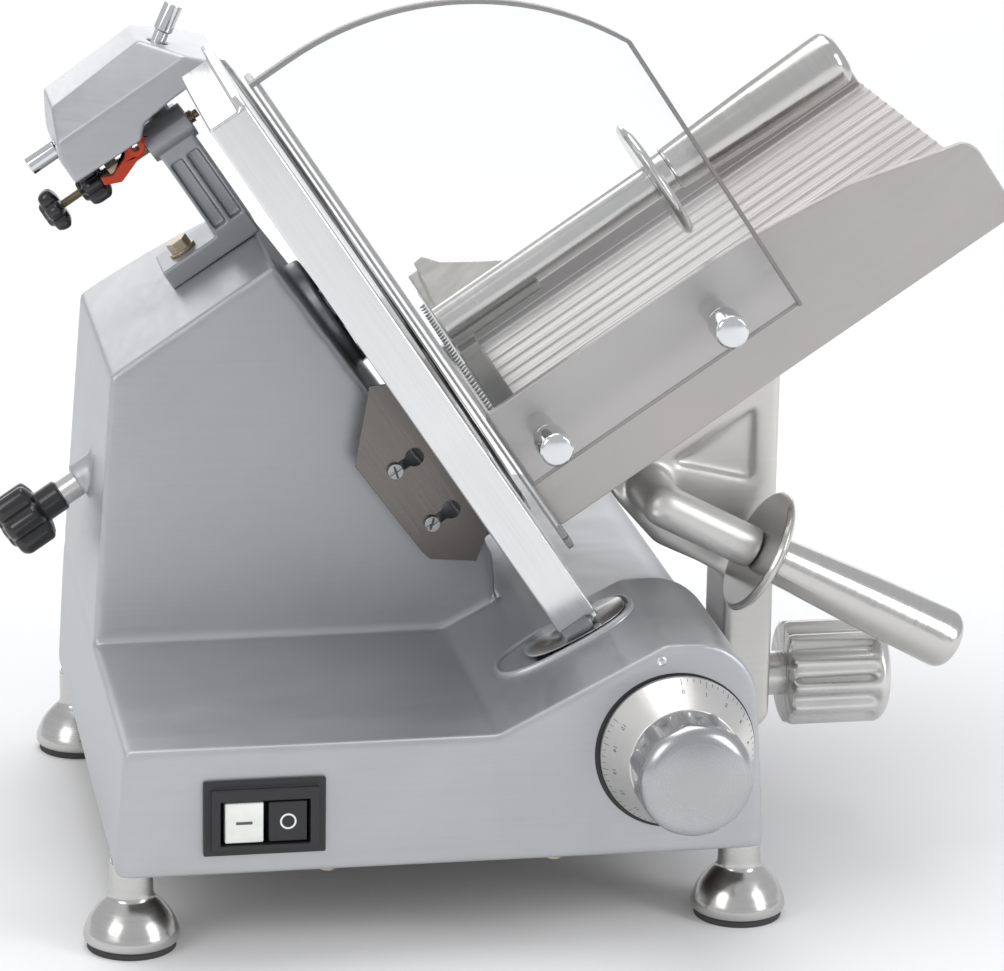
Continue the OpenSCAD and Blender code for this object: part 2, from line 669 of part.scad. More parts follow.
// Long grip along x, from a to b, with rounded ends
module grip(a, b, r0, r1, bore) turned_x() polygon(concat([[bore, a], [r0 - 1, a], [r0, a + 2],
    [r0 + 0.5 * (r1 - r0) + 0.7, (a + b) / 2], [r1, b - 14]],
    arc([r1 - 7, b - 7], 7, 0, 80, 5), [[bore, b]]));
module disc(a, r, bore) turned_x() polygon([[bore, a], [r - 2, a], [r, a + 2], [r, a + 3.5],
    [r - 2, a + 5.5], [bore, a + 5.5]]);
module handle_grip() color("silver") place()
    translate([handle_x, handle_y, handle_z]) rotate([0, handle_tilt, 0]) {
        disc(58, 35, 0);
        bar_along_x(12, 63.5, 70);
        grip(70, 186, 13, 16.5, 0);
    }
module fluted_knob(a, b, r) difference() {
    turned_x() polygon([[0, a], [r - 3, a], [r, a + 4], [r, b - 9], [r - 3, b - 4], [r - 8, b], [0, b]]);
    for (i = [0:30:330]) rotate([i, 0, 0]) translate([0, r + 5, 0]) bar_along_x(8, a - eps, b - 12);
}
module carriage_knob() color("silver") place() translate([0, knob_y, knob_z]) {
    bar_along_x(12.5, arm_x1, 223);
    fluted_knob(222.5, 281, 30);
    bar_along_x(6, 150, 212);
}
module food_tray() color("rosybrown") tilted() {
    difference() {
        union() {
            // ribbed floor
            translate([tray_n0, tray_y0, floor_u - floor_t])
                cube([tray_n1 - tray_n0, tray_y1 - tray_y0, floor_t]);
            for (i = [1:tray_ribs]) translate([tray_n0 + 4,
                tray_y0 + i * (tray_y1 - tray_y0) / (tray_ribs + 1) - rib_w / 2, floor_u - 1])
                    cube([tray_n1 - tray_n0 - 4, rib_w, 1 + rib_h]);
            // front wall and back lip
            along_y(tray_y0, tray_y0 + tray_wall) polygon(concat([[tray_n0, 124], [tray_n0 + 2, 122],
                [tray_n1 - 6, 122], [tray_n1, 128]], arc([tray_n1 - 12, 162], 12, 0, 60, 4),
                [[404, 189], [340, 196.4], [300, wall_top_u], [tray_n0 + 3, wall_top_u],
                 [tray_n0, wall_top_u - 3]]));
            translate([tray_n0, tray_y1 - 6, floor_u - 1]) cube([tray_n1 - tray_n0, 6, 10]);
            // lugs of the pusher's rod
            for (n = [176, 462]) difference() {
                translate([n, tray_y1 - 8, 107]) cube([6, 31, 20]);
                translate([n - eps, tray_y1, 127]) cube([12, 30, 10]);
            }
        }
        translate([0, push_rod_y, push_rod_u]) bar_along_x(push_rod_r + run / 2, 170, 480);
        for (p = guard_posts) translate([p[0], 0, p[1]]) bar_along_y(3 + run, 90, 110);
    }
}
module pusher_rod() color("silver") tilted() translate([0, push_rod_y, push_rod_u])
    bar_along_x(push_rod_r, 175, 470);
module hand_guard() color("lightcyan") tilted() difference() {
    union() {
        along_y(guard_y, guard_y + guard_t) polygon(concat(
            [[guard_n, 159], [347, 159]], arc([197, 258.2], 166.3, 25.6, 90, 24), [[guard_n, 424.5]]));
        along_x(guard_n, guard_n + guard_t) polygon(concat(
            [[guard_y + guard_t, 424.5], [guard_y, 424.5], [guard_y, 125]],
            arc([guard_y + 12, 127], 12, 190, 350, 6), [[guard_y + 24, 424.5]]));
    }
    for (p = guard_posts) translate([p[0], 0, p[1]]) bar_along_y(3 + run, 60, 80);
}
module guard_knobs() color("silver") tilted() for (p = guard_posts) translate([p[0], 0, p[1]]) {
    bar_along_y(3, 60, tray_y0 + tray_wall);
    rotate([90, 0, 0]) translate([0, 0, -guard_y]) rotate_extrude() polygon([[0, 0], [7, 0], [9, 2],
        [9, 20], [7.6, 21.5], [0, 22.5]]);
    bar_along_y(7, guard_y + guard_t, tray_y0);
}

// Pusher -----------------------------------------------------------------------------------
module pusher_plate() color("silver") tilted() difference() {
    union() {
        // plate and the arm that reaches back to the rod
        along_x(push_n0, push_n0 + push_t) polygon(concat([[126, 142], [300, 142], [320, 150],
            [420, 150], [422.5, 146], [422.5, 118]], arc([push_rod_y, push_rod_u], 12, 180, 360, 10),
            [[444, 170], [436, 181], [424, 184], [300, 224], [128, 224], [125, 220], [125, 145]]));
        translate([0, push_rod_y, push_rod_u]) bar_along_x(12, push_n0 + push_t - eps, 236);
        // web between the plate and the tube
        translate([0, 0, 224]) linear_extrude(5) polygon([[push_n0, 140], [190, 300], [196, 302],
            [203, 272], [220, 233], [233, 205], [240, 170], [240, 140]]);
    }
    translate([0, push_rod_y, push_rod_u]) bar_along_x(8 + run, 170, 250);
    translate([0, push_y, push_u]) bar_along_x(pusher_tube_d / 2 + run, 170, 260);
}
module pusher_teeth() color("silver") tilted() {
    along_y(134, 292) polygon(concat([[push_n0, 150], [push_n0, 216]],
        [for (i = [0:20], e = [0, 1]) [e == 0 ? push_n0 - 1 : push_n0 - 5, 216 - i * 3.1 - e * 1.5]],
        [[push_n0 - 1, 150]]));
}
module pusher_bush() color("peru") tilted() translate([0, push_rod_y, push_rod_u]) difference() {
    bar_along_x(8, push_n0, 236);
    bar_along_x(push_rod_r + run, 170, 250);
}
module pusher_tube() color("silver") tilted() translate([0, push_y, push_u]) {
    bar_along_x(pusher_tube_d / 2, push_n0 + 1, 320);
    disc(320, 35, 0);
    bar_along_x(12, 325.5, 332);
}
module pusher_grip() color("silver") tilted() translate([0, push_y, push_u]) grip(332, 443, 13, 16.5, 0);

// Inlet of the mains lead
module cable_gland() color("black") place() translate([-120, base_depth, 76]) difference() {
    union() {
        bar_along_y(7, -9, 0);
        bar_along_y(10.5, 0, 4);
        bar_along_y(8, 4, 15);
    }
    bar_along_y(3.6, -10, 16);
}

base_housing();
base_cover();
cover_screws();
feet();
foot_pads();
switch_bezel();
switch_body();
gauge_rods();
ring_guard();
blade_bearings();
motor_body();
motor_bracket();
capacitor();
drive_belt();
deflector_studs();
sharpener_bracket();
sharpener_fasteners();
carriage_rails();
cable_gland();
blade_cover();
cover_sleeve();
blade();
blade_hub();
blade_screws();
blade_pulley();
motor_rotor();
motor_pulley();
cover_tie_rod();
cover_knob();
dial_disc();
dial_knob();
dial_shaft();
gauge_plate();
gauge_support();
slice_deflector();
button_on();
button_off();
sharpener_frame();
sharpener_cover();
grinding_button();
grinding_stone();
deburring_button();
deburring_stone();
lock_lever();
clamp_knob();
adjust_knob();
carriage_slider();
carriage_arm();
food_tray();
hand_guard();
guard_knobs();
handle_grip();
pusher_rod();
carriage_roller();
carriage_knob();
pusher_bush();
pusher_plate();
pusher_teeth();
pusher_tube();
pusher_grip();
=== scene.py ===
"""Looks of the meat slicer: camera, light, materials and detailed pieces on its fixed frame."""
import math

import bmesh
import bpy
from mathutils import Matrix, Vector
from mathutils.geometry import convex_hull_2d
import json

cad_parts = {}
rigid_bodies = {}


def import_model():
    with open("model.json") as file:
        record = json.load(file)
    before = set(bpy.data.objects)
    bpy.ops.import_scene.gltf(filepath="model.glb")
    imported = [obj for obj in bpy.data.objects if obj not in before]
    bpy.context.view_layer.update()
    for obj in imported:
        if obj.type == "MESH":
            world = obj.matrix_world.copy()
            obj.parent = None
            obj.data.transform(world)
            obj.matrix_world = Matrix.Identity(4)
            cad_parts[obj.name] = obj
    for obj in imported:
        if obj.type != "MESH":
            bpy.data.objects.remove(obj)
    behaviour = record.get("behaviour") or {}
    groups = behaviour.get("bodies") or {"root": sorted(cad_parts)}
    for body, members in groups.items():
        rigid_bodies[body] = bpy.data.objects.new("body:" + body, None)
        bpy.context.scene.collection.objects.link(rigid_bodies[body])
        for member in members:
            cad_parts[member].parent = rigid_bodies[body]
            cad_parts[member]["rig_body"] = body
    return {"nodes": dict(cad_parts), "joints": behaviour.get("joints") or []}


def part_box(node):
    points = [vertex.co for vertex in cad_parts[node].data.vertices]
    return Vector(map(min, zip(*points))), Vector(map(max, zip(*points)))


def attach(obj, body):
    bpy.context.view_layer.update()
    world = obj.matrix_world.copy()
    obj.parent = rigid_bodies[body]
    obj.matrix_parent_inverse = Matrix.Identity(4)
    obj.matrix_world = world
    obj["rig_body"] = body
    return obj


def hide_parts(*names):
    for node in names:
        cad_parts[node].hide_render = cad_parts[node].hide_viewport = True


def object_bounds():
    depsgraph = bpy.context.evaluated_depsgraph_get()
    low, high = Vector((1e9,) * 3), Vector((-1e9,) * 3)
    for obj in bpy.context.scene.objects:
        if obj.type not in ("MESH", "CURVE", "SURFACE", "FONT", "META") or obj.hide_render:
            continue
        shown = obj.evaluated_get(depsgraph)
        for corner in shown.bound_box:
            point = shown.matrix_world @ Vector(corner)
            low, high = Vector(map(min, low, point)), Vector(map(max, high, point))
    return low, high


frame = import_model()
CAD_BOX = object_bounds()
NODES = frame["nodes"]
MM = 0.001
SHARP_ANGLE = 26  # edges with a larger angle, in degrees, are rounded

# The blade's axis gives the tilted frame: n along the axis, y to the back, u up the blade.
SPIN = next(j for j in frame["joints"] if j["name"] == "blade_spin")
N_AXIS = Vector(SPIN["axis"]) * (1 if SPIN["axis"][0] > 0 else -1)
Y_AXIS = Vector((0, 1, 0))
U_AXIS = N_AXIS.cross(Y_AXIS)
TILTED = Matrix((N_AXIS, Y_AXIS, U_AXIS)).transposed().to_4x4()
TILT = math.atan2(N_AXIS.z, N_AXIS.x)


# Camera, light and floor ------------------------------------------------------------------

def show_plainly():
    """Display colours as they are, so that white paper is white."""
    bpy.context.scene.view_settings.view_transform = "Standard"


def make_camera():
    """A long lens from the front left, a little above the tray."""
    azimuth, elevation, roll = math.radians(10.44), math.radians(16.36), math.radians(0.96)
    distance = 2.4424
    off_middle = Vector((-0.0024, -0.0104, -0.0361))
    forward = Vector((math.sin(azimuth) * math.cos(elevation),
                      math.cos(azimuth) * math.cos(elevation), -math.sin(elevation)))
    aim = (CAD_BOX[0] + CAD_BOX[1]) / 2 + off_middle
    data = bpy.data.cameras.new("camera")
    data.sensor_width = 36
    data.lens = 158.7
    data.shift_x = 0.0123
    data.shift_y = -0.0204
    data.clip_start, data.clip_end = 0.1, 30
    camera = bpy.data.objects.new("camera", data)
    bpy.context.scene.collection.objects.link(camera)
    camera.location = aim - forward * distance
    camera.rotation_euler = ((forward.to_track_quat("-Z", "Y")).to_matrix()
                             @ Matrix.Rotation(roll, 3, "Z")).to_euler()
    bpy.context.scene.camera = camera


def area_light(name, place, size, power, colour=(1, 1, 1)):
    """A softbox at place that faces the object."""
    data = bpy.data.lights.new(name, "AREA")
    data.shape = "RECTANGLE"
    data.size, data.size_y = size
    data.energy = power
    data.color = colour
    light = bpy.data.objects.new(name, data)
    bpy.context.scene.collection.objects.link(light)
    target = (CAD_BOX[0] + CAD_BOX[1]) / 2
    light.location = Vector(place)
    light.rotation_euler = (target - light.location).to_track_quat("-Z", "Y").to_euler()


def make_lights():
    """A bright pale room with softboxes left, right, overhead and behind, with size in m and watts."""
    world = bpy.data.worlds.new("studio")
    world.use_nodes = True
    back = world.node_tree.nodes["Background"]
    back.inputs["Color"].default_value = (0.96, 0.97, 1.0, 1)
    back.inputs["Strength"].default_value = 0.66
    bpy.context.scene.world = world
    area_light("softbox_left", (-2.2, -1.6, 1.7), (1.4, 1.4), 16, (1.0, 0.99, 0.97))
    area_light("softbox_right", (2.0, -1.8, 1.3), (0.9, 1.6), 24, (0.97, 0.98, 1.0))
    area_light("softbox_top", (-0.2, 0.5, 2.6), (2.2, 1.6), 25)
    area_light("softbox_back", (0.3, 3.6, 1.4), (4.0, 1.8), 28)


def make_floor():
    """A pale sheet that runs up far behind the object."""
    bm = bmesh.new()
    bend_start, bend, half_width, top = 6.0, 1.0, 7.0, 5.0
    rows = [(-7.0, 0.0), (bend_start, 0.0)]
    rows += [(bend_start + bend * math.sin(math.radians(a)), bend - bend * math.cos(math.radians(a)))
             for a in range(10, 91, 10)]
    rows += [(bend_start + bend, top)]
    grid = [[bm.verts.new((x, y, z)) for x in (-half_width, half_width)] for y, z in rows]
    for low, high in zip(grid, grid[1:]):
        bm.faces.new((low[0], low[1], high[1], high[0]))
    floor = finished(bm, "floor", paper(), smooth=True)


# Materials --------------------------------------------------------------------------------

class Shader:
    """A new material with one Principled shader and short ways to add nodes to it."""

    def __init__(self, name, colour, roughness, metallic=0.0, **fixed):
        self.made = bpy.data.materials.new(name)
        self.made.use_nodes = True
        self.tree = self.made.node_tree
        self.skin = self.tree.nodes["Principled BSDF"]
        self.made.diffuse_color = (*colour, 1)
        self.set("Base Color", (*colour, 1))
        self.set("Roughness", roughness)
        self.set("Metallic", metallic)
        for socket, value in fixed.items():
            self.set(socket.replace("_", " "), value)

    def set(self, socket, value):
        self.skin.inputs[socket].default_value = value

    def node(self, kind, **settings):
        made = self.tree.nodes.new(kind)
        for key, value in settings.items():
            if key in made.inputs:
                made.inputs[key].default_value = value
            else:
                setattr(made, key, value)
        return made

    def link(self, source, target):
        self.tree.links.new(source, target)

    def place(self, scale=(1, 1, 1), turn=(0, 0, 0)):
        """Object coordinates, turned and scaled."""
        where = self.node("ShaderNodeTexCoord").outputs["Object"]
        for socket, value in (("Rotation", turn), ("Scale", scale)):
            mapping = self.node("ShaderNodeMapping")
            mapping.inputs[socket].default_value = value
            self.link(where, mapping.inputs["Vector"])
            where = mapping.outputs["Vector"]
        return where

    def noise(self, vector, scale, detail=4.0, rough=0.55, distortion=0.0):
        made = self.node("ShaderNodeTexNoise", Scale=scale, Detail=detail, Roughness=rough,
                         Distortion=distortion)
        self.link(vector, made.inputs["Vector"])
        return made.outputs["Fac"]

    def spread(self, value, low, high, at=(0.3, 0.7)):
        """Maps a value between two levels to low and high."""
        made = self.node("ShaderNodeMapRange")
        for socket, number in zip(("From Min", "From Max", "To Min", "To Max"), (*at, low, high)):
            made.inputs[socket].default_value = number
        self.link(value, made.inputs["Value"])
        return made.outputs["Result"]

    def blend(self, value, first, second):
        """Colour that goes from first to second with value."""
        made = self.node("ShaderNodeMix", data_type="RGBA")
        self.link(value, made.inputs[0])
        for socket, colour in ((made.inputs[6], first), (made.inputs[7], second)):
            if isinstance(colour, bpy.types.NodeSocket):
                self.link(colour, socket)
            else:
                socket.default_value = (*colour, 1)
        return made.outputs[2]

    def add(self, first, second, operation="ADD"):
        made = self.node("ShaderNodeMath", operation=operation)
        for socket, value in zip(made.inputs, (first, second)):
            if isinstance(value, (int, float)):
                socket.default_value = value
            else:
                self.link(value, socket)
        return made.outputs[0]

    def bump(self, height, strength, distance):
        made = self.node("ShaderNodeBump", Strength=strength, Distance=distance)
        self.link(height, made.inputs["Height"])
        self.link(made.outputs["Normal"], self.skin.inputs["Normal"])


def shade(colour, factor):
    return tuple(min(1.0, c * factor) for c in colour)


def brushed(name, colour, roughness, stroke, turn=(0, 0, 0), depth=0.05, patch=0.06):
    """Metal with fine strokes: stroke scales the noise, so its smallest number is the long way."""
    s = Shader(name, colour, roughness, 1.0)
    grain = s.noise(s.place(stroke, turn), 1.0, 5.0, 0.6)
    cloud = s.noise(s.place((9, 9, 9), turn), 1.0, 3.0, 0.5, 0.6)
    speck = s.noise(s.place((420, 420, 420)), 1.0, 2.0, 0.5)
    tone = s.add(s.spread(grain, -0.5, 0.5), s.spread(cloud, -0.6, 0.6), "ADD")
    level = s.spread(tone, 0.0, 1.0, (-1.0, 1.0))
    s.link(s.blend(level, shade(colour, 1 - 1.6 * patch), shade(colour, 1 + 1.2 * patch)),
           s.skin.inputs["Base Color"])
    rough = s.add(s.spread(grain, roughness * 0.78, roughness * 1.2),
                  s.spread(cloud, -0.05, 0.05), "ADD")
    s.link(rough, s.skin.inputs["Roughness"])
    s.bump(s.add(grain, s.spread(speck, 0.0, 0.25), "ADD"), depth, 0.0004)
    return s.made


def spun(name, colour, roughness, node, direction, patch=0.05):
    """Metal turned in a lathe: fine rings about the node's axis and a faint clouded polish."""
    s = Shader(name, colour, roughness, 1.0)
    low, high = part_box(node)
    centre = (low + high) / 2
    where = s.node("ShaderNodeTexCoord").outputs["Object"]
    moved = s.node("ShaderNodeMapping")
    moved.inputs["Location"].default_value = -centre
    s.link(where, moved.inputs["Vector"])
    rings = s.node("ShaderNodeTexWave", wave_type="RINGS", rings_direction=direction, Scale=150.0,
                   Distortion=1.2, Detail=2.0)
    rings.inputs["Detail Scale"].default_value = 0.02
    s.link(moved.outputs["Vector"], rings.inputs["Vector"])
    cloud = s.noise(s.place((30, 30, 30)), 1.0, 3.0, 0.5, 0.4)
    s.link(s.blend(s.spread(cloud, 0.0, 1.0), shade(colour, 1 - patch), shade(colour, 1 + patch)),
           s.skin.inputs["Base Color"])
    rough = s.add(s.spread(rings.outputs["Fac"], -0.02, 0.02, (0.0, 1.0)),
                  s.spread(cloud, roughness * 0.9, roughness * 1.12), "ADD")
    s.link(rough, s.skin.inputs["Roughness"])
    s.bump(rings.outputs["Fac"], 0.0015, 0.0002)
    return s.made


def cast(name, colour, roughness, depth=0.12, patch=0.07):
    """Satin casting: shot-blasted grain, soft waviness and clouded polish."""
    s = Shader(name, colour, roughness, CAST_METALLIC)
    fine = s.noise(s.place((1500, 1500, 1500)), 1.0, 3.0, 0.6)
    wave = s.noise(s.place((22, 22, 22)), 1.0, 3.0, 0.5)
    cloud = s.noise(s.place((7, 7, 10)), 1.0, 5.0, 0.6, 0.8)
    streak = s.noise(s.place((9, 60, 420)), 1.0, 4.0, 0.6)
    tone = s.add(s.spread(cloud, -0.75, 0.75), s.spread(streak, -0.25, 0.25), "ADD")
    level = s.spread(tone, 0.0, 1.0, (-1.0, 1.0))
    s.link(s.blend(level, shade(colour, 1 - 1.7 * patch), shade(colour, 1 + patch)),
           s.skin.inputs["Base Color"])
    rough = s.add(s.spread(cloud, roughness * 0.82, roughness * 1.15),
                  s.spread(streak, -0.035, 0.035), "ADD")
    s.link(rough, s.skin.inputs["Roughness"])
    s.bump(s.add(s.add(fine, 0.18, "MULTIPLY"), s.add(wave, 0.5, "MULTIPLY"), "ADD"), depth, 0.0005)
    return s.made


def moulded(name, colour, roughness, grain=900, depth=0.1, **fixed):
    """Moulded plastic or rubber with a fine grain and handling marks."""
    s = Shader(name, colour, roughness, 0.0, **fixed)
    fine = s.noise(s.place((grain, grain, grain)), 1.0, 3.0, 0.6)
    cloud = s.noise(s.place((40, 40, 40)), 1.0, 4.0, 0.6)
    s.link(s.blend(s.spread(cloud, 0.0, 1.0), shade(colour, 0.86), shade(colour, 1.12)),
           s.skin.inputs["Base Color"])
    s.link(s.spread(cloud, roughness * 0.8, roughness * 1.25), s.skin.inputs["Roughness"])
    s.bump(fine, depth, 0.0003)
    return s.made


def gritty(name, colour):
    """Bonded abrasive: coarse grains of two tones."""
    s = Shader(name, colour, 0.9)
    grit = s.noise(s.place((1400, 1400, 1400)), 1.0, 2.0, 0.7)
    s.link(s.blend(s.spread(grit, 0.0, 1.0, (0.42, 0.58)), shade(colour, 0.6), shade(colour, 1.4)),
           s.skin.inputs["Base Color"])
    s.bump(grit, 0.6, 0.0004)
    return s.made


def clear(name, colour, alpha, roughness):
    """Clear acrylic with faint handling marks."""
    s = Shader(name, colour, roughness, 0.0, Alpha=alpha, IOR=1.49)
    cloud = s.noise(s.place((16, 16, 16)), 1.0, 4.0, 0.6)
    s.link(s.spread(cloud, roughness * 0.6, roughness * 1.8), s.skin.inputs["Roughness"])
    s.link(s.blend(s.spread(cloud, 0.0, 1.0), shade(colour, 0.97), colour), s.skin.inputs["Base Color"])
    return s.made


def paper():
    """White sweep."""
    s = Shader("paper_white", (0.93, 0.93, 0.93), 0.9)
    fibre = s.noise(s.place((300, 300, 300)), 1.0, 3.0, 0.6)
    s.bump(fibre, 0.05, 0.0003)
    return s.made


SLOPE = (0, TILT, 0)
DROP = (0, -math.radians(27.3), 0)
ALUMINIUM = (0.475, 0.482, 0.497)
CAST_METALLIC = 0.64  # below one: a blasted casting scatters part of the light
SHADERS = {
    "cast": cast("cast_satin_aluminium", ALUMINIUM, 0.4),
    "cast_bright": cast("cast_bright_aluminium", (0.48, 0.485, 0.50), 0.34),
    "cast_arm": cast("cast_warm_aluminium", (0.66, 0.65, 0.63), 0.38),
    "cast_rough": cast("cast_blasted_aluminium", (0.40, 0.41, 0.42), 0.46, 0.3, 0.1),
    "polished": brushed("polished_aluminium", (0.62, 0.62, 0.62), 0.2, (60, 60, 900), SLOPE, 0.02),
    "polished_flat": brushed("polished_plate", (0.76, 0.76, 0.755), 0.17, (900, 900, 16), SLOPE, 0.02),
    "pusher": brushed("satin_pusher", (0.20, 0.19, 0.17), 0.4, (60, 60, 500), SLOPE, 0.03, 0.1),
    "turned": brushed("turned_aluminium", (0.68, 0.675, 0.665), 0.3, (40, 900, 40), (0, 0, 0), 0.02),
    "knob": spun("turned_knob", (0.46, 0.46, 0.465), 0.27, "dial_knob", "Y"),
    "side_knob": spun("turned_side_knob", (0.66, 0.655, 0.64), 0.3, "carriage_knob", "X"),
    "dial": spun("dial_face", (0.72, 0.71, 0.69), 0.36, "dial_disc", "Y", 0.04),
    "grip": brushed("grip_aluminium", (0.60, 0.59, 0.57), 0.22, (500, 12, 12), SLOPE, 0.02, 0.03),
    "grip_low": brushed("low_grip_aluminium", (0.60, 0.59, 0.57), 0.22, (500, 12, 12), DROP, 0.02,
                        0.03),
    "foot": brushed("turned_foot", (0.58, 0.575, 0.56), 0.24, (12, 12, 900), (0, 0, 0), 0.03, 0.04),
    "tray": brushed("anodised_tray", (0.47, 0.45, 0.44), 0.42, (8, 500, 500), SLOPE, 0.03, 0.04),
    "blade": brushed("ground_blade", (0.55, 0.56, 0.57), 0.17, (300, 40, 40), SLOPE, 0.03),
    "stainless": brushed("brushed_stainless", (0.20, 0.187, 0.175), 0.3, (700, 40, 14), SLOPE, 0.04,
                         0.05),
    "chrome": brushed("chrome_plate", (0.72, 0.73, 0.74), 0.08, (300, 300, 300), (0, 0, 0), 0.005,
                      0.02),
    "bracket": cast("bracket_aluminium", (0.40, 0.41, 0.43), 0.36, 0.2, 0.12),
    "machine_steel": brushed("machined_steel", (0.42, 0.42, 0.42), 0.3, (500, 80, 80), SLOPE, 0.05),
    "zinc": brushed("yellowed_zinc", (0.48, 0.42, 0.31), 0.34, (260, 260, 260), (0, 0, 0), 0.08, 0.14),
    # iron is the motor's own dark colour, and painted shade on the carriage slider.
    "iron": moulded("painted_iron", (0.09, 0.10, 0.11), 0.5, 500, 0.25),
    "black": moulded("black_phenolic", (0.012, 0.012, 0.013), 0.24, 700, 0.06, Coat_Weight=0.35),
    # black_matt also makes the ring round the dial, which is painted shadow.
    "black_matt": moulded("black_moulding_and_painted_shadow", (0.02, 0.02, 0.022), 0.42, 1100, 0.12),
    "white": moulded("white_button", (0.80, 0.82, 0.78), 0.35, 900, 0.05),
    "red": moulded("red_lever", (0.56, 0.042, 0.006), 0.45, 700, 0.06),
    "rubber": moulded("rubber", (0.05, 0.05, 0.05), 0.75, 600, 0.3),
    "bronze": brushed("bronze_bush", (0.55, 0.36, 0.18), 0.35, (400, 90, 90), SLOPE, 0.08),
    "clear": clear("clear_acrylic", (0.80, 0.83, 0.84), 0.06, 0.03),
    "clear_edge": clear("acrylic_edge", (0.27, 0.262, 0.255), 0.8, 0.16),
    "stone": gritty("abrasive_stone", (0.42, 0.37, 0.31)),
    # ink also makes the slots on the stud heads, which are painted shade; elsewhere it is real print.
    "ink": moulded("dark_ink_and_painted_shade", (0.10, 0.10, 0.11), 0.6, 900, 0.02),
    "ink_white": moulded("white_ink", (0.75, 0.75, 0.74), 0.6, 900, 0.02),
}


# Mesh tools -------------------------------------------------------------------------------

def finished(bm, name, material, smooth=True, sharp=40):
    """Turns a bmesh into a linked object with one material and even shading."""
    mesh = bpy.data.meshes.new(name)
    bmesh.ops.recalc_face_normals(bm, faces=bm.faces)
    for face in bm.faces:
        face.smooth = smooth
    limit = math.radians(sharp)
    for edge in bm.edges:
        edge.smooth = len(edge.link_faces) != 2 or edge.calc_face_angle(0.0) < limit
    bm.to_mesh(mesh)
    bm.free()
    mesh.materials.append(material)
    piece = bpy.data.objects.new(name, mesh)
    bpy.context.scene.collection.objects.link(piece)
    return piece


def joined(bm, parts):
    """Adds the faces of other bmeshes to bm."""
    for part in parts:
        mesh = bpy.data.meshes.new("joining")
        part.to_mesh(mesh)
        part.free()
        bm.from_mesh(mesh)
        bpy.data.meshes.remove(mesh)
    return bm


def node_mesh(node):
    """The CAD node's surface as a clean bmesh of flat faces."""
    source = NODES[node].data
    mesh = bpy.data.meshes.new("working")
    mesh.from_pydata([v.co for v in source.vertices], [], [tuple(p.vertices) for p in source.polygons])
    bm = bmesh.new()
    bm.from_mesh(mesh)
    bpy.data.meshes.remove(mesh)
    bmesh.ops.remove_doubles(bm, verts=bm.verts, dist=2e-6)
    bmesh.ops.dissolve_limit(bm, angle_limit=math.radians(0.6), verts=bm.verts, edges=bm.edges)
    return bm


def eased(bm, width, steps=2):
    """Rounds the bmesh's sharp edges by width."""
    limit = math.radians(SHARP_ANGLE)
    edges = [e for e in bm.edges if len(e.link_faces) == 2 and e.calc_face_angle(0.0) > limit
             and e.calc_length() > 0]
    bmesh.ops.bevel(bm, geom=edges, offset=width, segments=steps, profile=0.5,
                    affect="EDGES", clamp_overlap=False, offset_type="OFFSET")
    return bm


def even_normals(piece):
    modifier = piece.modifiers.new("even_normals", "WEIGHTED_NORMAL")
    modifier.keep_sharp = True
    modifier.weight = 80
    return piece


def soften(node, material, width, steps):
    """A piece that stands for a CAD node, with its edges rounded by width in mm."""
    bm = eased(node_mesh(node), width * MM, steps)
    piece = even_normals(finished(bm, node + "_skin", SHADERS[material], sharp=50))
    return place_piece(piece, node)


def melt(node, material, voxel, passes, keep=0.2):
    """A piece that stands for a cast CAD node: every edge and corner flows, as in a casting.

    voxel is the grid in mm, passes the smoothing steps, keep the share of triangles kept."""
    piece = finished(node_mesh(node), node + "_casting", SHADERS[material])
    remesh = piece.modifiers.new("grid", "REMESH")
    remesh.mode, remesh.voxel_size, remesh.use_smooth_shade = "VOXEL", voxel * MM, True
    smooth = piece.modifiers.new("flow", "SMOOTH")
    smooth.factor, smooth.iterations = 0.5, passes
    thin = piece.modifiers.new("thin", "DECIMATE")
    thin.ratio = keep
    bpy.context.view_layer.update()
    mesh = bpy.data.meshes.new_from_object(piece.evaluated_get(bpy.context.evaluated_depsgraph_get()))
    piece.modifiers.clear()
    piece.data = mesh
    mesh.materials.clear()
    mesh.materials.append(SHADERS[material])
    mesh.polygons.foreach_set("use_smooth", [True] * len(mesh.polygons))
    return place_piece(even_normals(piece), node)


def place_piece(piece, node):
    """The piece rides with the node's body and stands for the node."""
    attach(piece, NODES[node]["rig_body"])
    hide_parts(node)
    return piece


def add_piece(piece, node):
    """The piece rides with the node's body, beside it."""
    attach(piece, NODES[node]["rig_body"])
    return piece


def paint(node, material):
    """Gives a CAD node its material."""
    mesh = NODES[node].data
    mesh.materials.clear()
    mesh.materials.append(SHADERS[material])


